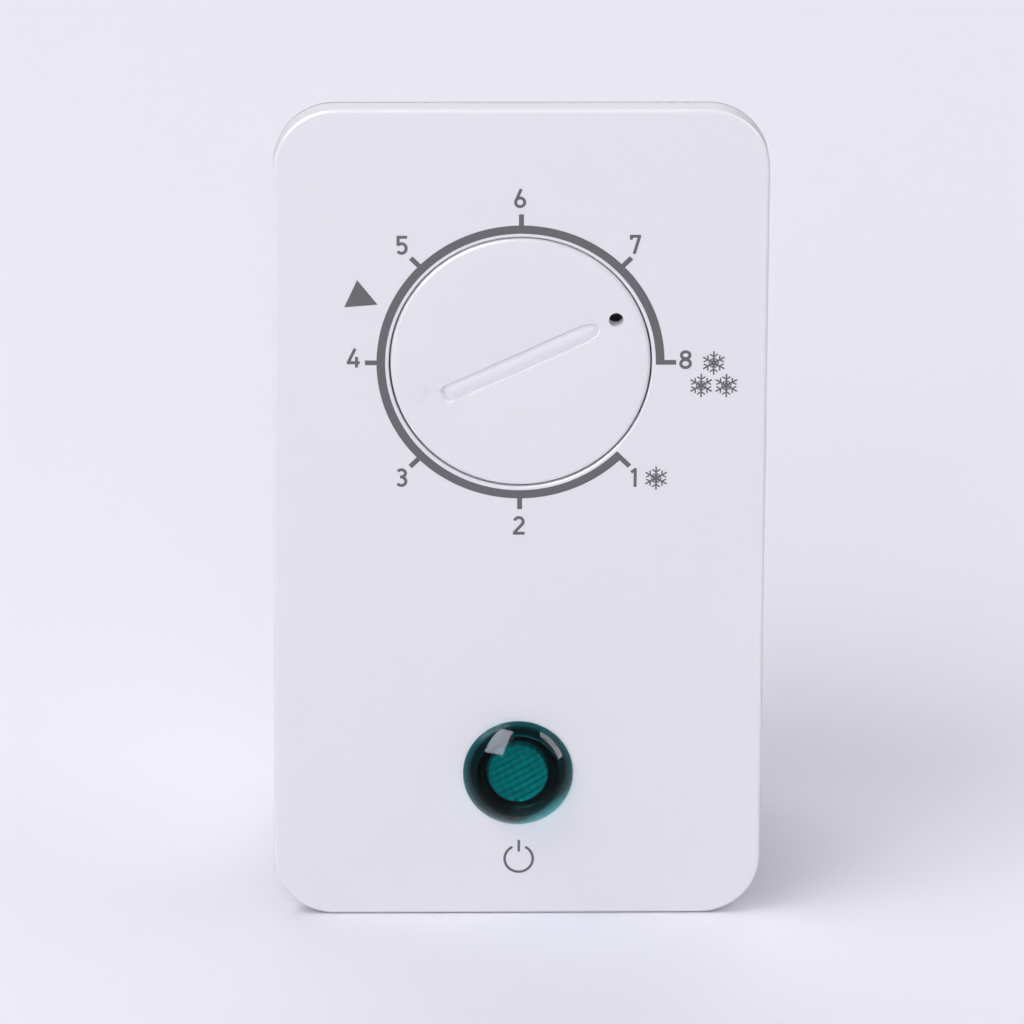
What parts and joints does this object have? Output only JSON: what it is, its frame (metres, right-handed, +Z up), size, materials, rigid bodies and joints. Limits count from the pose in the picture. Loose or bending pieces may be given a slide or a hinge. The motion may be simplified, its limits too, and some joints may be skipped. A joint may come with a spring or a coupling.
{
  "type": "wall thermostat",
  "caption": "Flush wall thermostat: rounded white panel, turning coin-slot dial with a numbered scale, green domed signal lamp, capillary thermostat and wiring in a box behind.",
  "frame": {"origin": "centre of the wall opening, in the plane of the wall's face that the flange lies on", "axes": "+X right as seen from the front, +Y into the wall, +Z up"},
  "size_m": [0.07, 0.0617, 0.1214],
  "materials": {
    "panel_white": "moulded white, soft sheen",
    "dial_white": "moulded white, soft sheen",
    "box_white": "plain moulded",
    "lens_green": "tinted, polished",
    "diffuser": "prismatic",
    "nylon_black": "moulded",
    "nylon_natural": "moulded",
    "phenolic": "moulded",
    "zinc_steel": "zinc plated",
    "spring_steel": "hardened",
    "brass": "stamped or turned",
    "copper": "drawn copper",
    "silver": "silver contact",
    "rubber": "moulded",
    "bulb_glass": "blown",
    "resistor_tan": "lacquered",
    "lead_brown": "insulated",
    "lead_blue": "insulated",
    "lead_black": "insulated",
    "lead_earth": "insulated"
  },
  "bodies": {
    "root": {"front_panel": "panel_white", "back_box": "box_white", "lamp_lens": "lens_green", "lamp_diffuser": "diffuser", "wall_screw_lower_left": "zinc_steel", "wall_screw_lower_right": "zinc_steel", "wall_screw_upper_left": "zinc_steel", "wall_screw_upper_right": "zinc_steel", "cable_grommet": "rubber", "capillary_grommet": "rubber", "mounting_nut": "zinc_steel", "lock_washer": "spring_steel", "thermostat_frame": "zinc_steel", "spindle_bush": "brass", "range_lever_pin": "spring_steel", "main_lever_pin": "spring_steel", "bellows_cup": "copper", "bellows": "brass", "capillary_tube": "copper", "calibration_screw": "brass", "switch_base": "phenolic", "fixed_contact": "silver", "terminal_common": "brass", "terminal_switched": "brass", "earth_tab": "brass", "blade_rivet": "brass", "terminal_rivet": "brass", "lamp_body": "nylon_black", "lamp_retainer": "spring_steel", "neon_bulb": "bulb_glass", "neon_resistor": "resistor_tan", "lamp_terminal_left": "brass", "lamp_terminal_right": "brass", "terminal_block": "nylon_natural", "block_screw_left": "zinc_steel", "block_screw_right": "zinc_steel", "receptacle_common": "brass", "receptacle_switched": "brass", "receptacle_earth": "brass", "receptacle_lamp_left": "brass", "receptacle_lamp_right": "brass", "wire_live_in": "lead_brown", "wire_live_lamp": "lead_brown", "wire_neutral_lamp": "lead_blue", "wire_switched": "lead_black", "wire_earth": "lead_earth"},
    "dial": {"dial_knob": "dial_white", "knob_spring_clip": "spring_steel", "spindle": "brass", "spindle_cam": "nylon_black"},
    "range_bell_crank": {"range_lever": "zinc_steel", "range_spring": "spring_steel"},
    "main_beam": {"main_lever": "zinc_steel"},
    "bellows_head": {"bellows_plunger": "brass"},
    "contact_blade": {"moving_contact_blade": "copper"}
  },
  "joints": [
    {"name": "dial_turn", "type": "hinge", "parent": "root", "child": "dial", "pos_m": [0, 0, 0.0233], "axis": [0, 1, 0], "range_deg": [-290, 25]},
    {"name": "range_lever_turn", "type": "hinge", "parent": "root", "child": "range_bell_crank", "pos_m": [0, 0.0195, 0.0353], "axis": [1, 0, 0], "range_deg": [-1.5, 12], "deforming": ["range_spring"]},
    {"name": "main_lever_tilt", "type": "hinge", "parent": "root", "child": "main_beam", "pos_m": [0, 0.026, 0.0153], "axis": [1, 0, 0], "range_deg": [-3, 0], "stiffness_Nm_per_rad": 0.004, "springref_deg": 5.73},
    {"name": "bellows_push", "type": "slide", "parent": "root", "child": "bellows_head", "axis": [0, 0, 1], "range_m": [0, 0.000288], "deforming": ["bellows"]},
    {"name": "blade_flex", "type": "hinge", "parent": "root", "child": "contact_blade", "pos_m": [0.0075, 0.03605, 0.0093], "axis": [1, 0, 0], "range_deg": [-1.9, 0]}
  ],
  "couplings": [
    {"joint": "range_lever_turn", "follows": "dial_turn", "ratio": -0.0392},
    {"joint": "main_lever_tilt", "follows": "bellows_push", "rad_per_m": -181.8},
    {"joint": "blade_flex", "follows": "bellows_push", "rad_per_m": -113.6}
  ]
}
